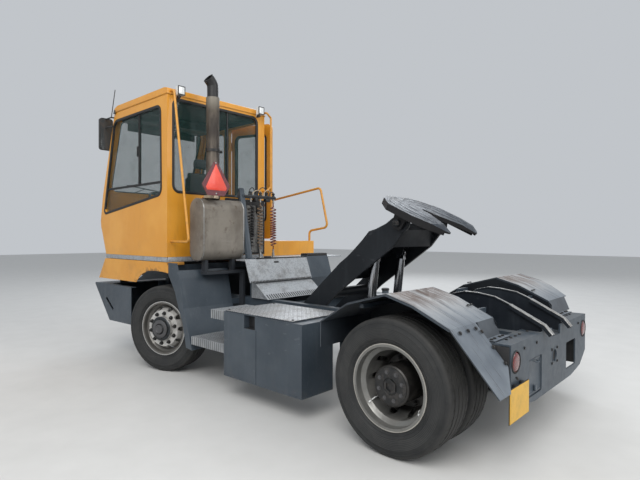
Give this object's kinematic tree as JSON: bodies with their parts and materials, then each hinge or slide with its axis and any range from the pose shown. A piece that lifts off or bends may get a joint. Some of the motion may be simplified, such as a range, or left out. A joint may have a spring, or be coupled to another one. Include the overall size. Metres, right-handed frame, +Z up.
{
  "type": "terminal tractor",
  "caption": "Two-axle yard tractor with an offset one-man cab, a lifting fifth wheel on a boom, twin rear wheels, side boxes and an upright exhaust.",
  "frame": {"origin": "on the ground below the middle of the overall box", "axes": "+X forward, +Y to the left, +Z up"},
  "size_m": [5.49, 2.6143, 3.3149],
  "materials": {
    "orange_paint": "semi_gloss",
    "dark_paint": "satin",
    "black_paint": "satin",
    "worn_steel": "worn",
    "galvanised": "matte",
    "rod_steel": "polished",
    "exhaust_metal": "weathered",
    "tyre_rubber": "matte",
    "rim_paint": "satin",
    "window_glass": "clear",
    "seat_cloth": "matte",
    "black_plastic": "matte",
    "lamp_clear": "clear",
    "lamp_red": "gloss",
    "hose_black": "satin",
    "hose_brown": "satin",
    "hose_red": "satin"
  },
  "bodies": {
    "chassis": {"chassis_frame": "dark_paint", "rear_crossmember": "dark_paint", "trailer_ramps": "worn_steel", "front_axle": "dark_paint", "rear_axle": "dark_paint", "engine_block": "black_paint", "propshaft": "black_paint", "front_bumper": "dark_paint", "front_skirt": "orange_paint", "front_grille": "dark_paint", "headlamps": "lamp_clear", "front_mudguards": "dark_paint", "engine_hood": "orange_paint", "hood_handrail": "orange_paint", "walkway": "galvanised", "step_box": "dark_paint", "side_steps": "galvanised", "tool_box": "dark_paint", "fuel_tank": "dark_paint", "rear_mudguards": "dark_paint", "tail_lamps": "lamp_red", "silencer": "exhaust_metal", "exhaust_stack": "exhaust_metal", "warning_triangle": "lamp_red", "hose_post": "dark_paint", "coil_black": "hose_black", "coil_brown": "hose_brown", "coil_red": "hose_red"},
    "cab": {"cab_floor": "dark_paint", "cab_left_side": "orange_paint", "cab_right_side": "orange_paint", "cab_rear_wall": "orange_paint", "cab_front": "orange_paint", "cab_roof": "orange_paint", "cab_glass": "window_glass", "seat": "seat_cloth", "dashboard": "black_plastic", "steering_wheel": "black_plastic", "mirrors": "orange_paint", "grab_rails": "orange_paint", "work_lamps": "lamp_clear"},
    "cab_door": {"cab_door": "orange_paint", "door_glass": "window_glass"},
    "knuckle_left": {"knuckle_left": "black_paint"},
    "knuckle_right": {"knuckle_right": "black_paint"},
    "tie_rod": {"tie_rod": "black_paint"},
    "front_wheel_left": {"front_tyre_left": "tyre_rubber", "front_rim_left": "rim_paint"},
    "front_wheel_right": {"front_tyre_right": "tyre_rubber", "front_rim_right": "rim_paint"},
    "rear_wheels_left": {"rear_tyres_left": "tyre_rubber", "rear_rims_left": "rim_paint"},
    "rear_wheels_right": {"rear_tyres_right": "tyre_rubber", "rear_rims_right": "rim_paint"},
    "boom": {"boom": "black_paint"},
    "fifth_wheel": {"fifth_wheel": "black_paint"},
    "lift_barrels": {"lift_barrels": "black_paint"},
    "lift_rods": {"lift_rods": "rod_steel"}
  },
  "joints": [
    {"name": "boom_lift", "type": "hinge", "parent": "chassis", "child": "boom", "pos_m": [-0.235, 0, 0.61], "axis": [0, 1, 0], "range_deg": [-25.3, 3]},
    {"name": "plate_tilt", "type": "hinge", "parent": "boom", "child": "fifth_wheel", "pos_m": [-1.495, 0, 1.625], "axis": [0, 1, 0], "range_deg": [-6.1, 50.9]},
    {"name": "barrel_swing", "type": "hinge", "parent": "chassis", "child": "lift_barrels", "pos_m": [-1.039, 0, 0.42], "axis": [0, 1, 0], "range_deg": [-27.62, 3.54]},
    {"name": "rod_slide", "type": "slide", "parent": "lift_barrels", "child": "lift_rods", "axis": [-0.1126, 0, 0.9936], "range_m": [-0.3604, 0.0436]},
    {"name": "cab_tilt", "type": "hinge", "parent": "chassis", "child": "cab", "pos_m": [2.465, 0, 1.245], "axis": [0, 1, 0], "range_deg": [0, 50]},
    {"name": "door_hinge", "type": "hinge", "parent": "cab", "child": "cab_door", "pos_m": [1.645, -0.203, 2.225], "axis": [0, 0, 1], "range_deg": [-17, 75]},
    {"name": "steer_left", "type": "hinge", "parent": "chassis", "child": "knuckle_left", "pos_m": [1.195, 0.86, 0.478], "axis": [0, 0, 1], "range_deg": [-57, 19]},
    {"name": "steer_right", "type": "hinge", "parent": "chassis", "child": "knuckle_right", "pos_m": [1.195, -0.86, 0.478], "axis": [0, 0, 1], "range_deg": [-57.5, 19.5]},
    {"name": "tie_rod_turn", "type": "hinge", "parent": "knuckle_left", "child": "tie_rod", "pos_m": [0.95862, 0.77861, 0.356], "axis": [0, 0, 1], "range_deg": [-19.5, 57.5]},
    {"name": "front_spin_left", "type": "hinge", "parent": "knuckle_left", "child": "front_wheel_left", "pos_m": [1.13477, 1.03492, 0.478], "axis": [-0.3256, 0.9455, 0], "continuous": true},
    {"name": "front_spin_right", "type": "hinge", "parent": "knuckle_right", "child": "front_wheel_right", "pos_m": [1.25523, -1.03492, 0.478], "axis": [-0.3256, 0.9455, 0], "continuous": true},
    {"name": "rear_spin_left", "type": "hinge", "parent": "chassis", "child": "rear_wheels_left", "pos_m": [-1.955, 1.084, 0.478], "axis": [0, 1, 0], "continuous": true},
    {"name": "rear_spin_right", "type": "hinge", "parent": "chassis", "child": "rear_wheels_right", "pos_m": [-1.955, -1.084, 0.478], "axis": [0, 1, 0], "continuous": true}
  ],
  "couplings": [
    {"joint": "plate_tilt", "follows": "boom_lift", "ratio": -2.008},
    {"joint": "barrel_swing", "follows": "boom_lift", "ratio": 1.08},
    {"joint": "rod_slide", "follows": "boom_lift", "m_per_rad": 0.814},
    {"joint": "steer_right", "follows": "steer_left", "ratio": 1},
    {"joint": "tie_rod_turn", "follows": "steer_left", "ratio": -1}
  ]
}
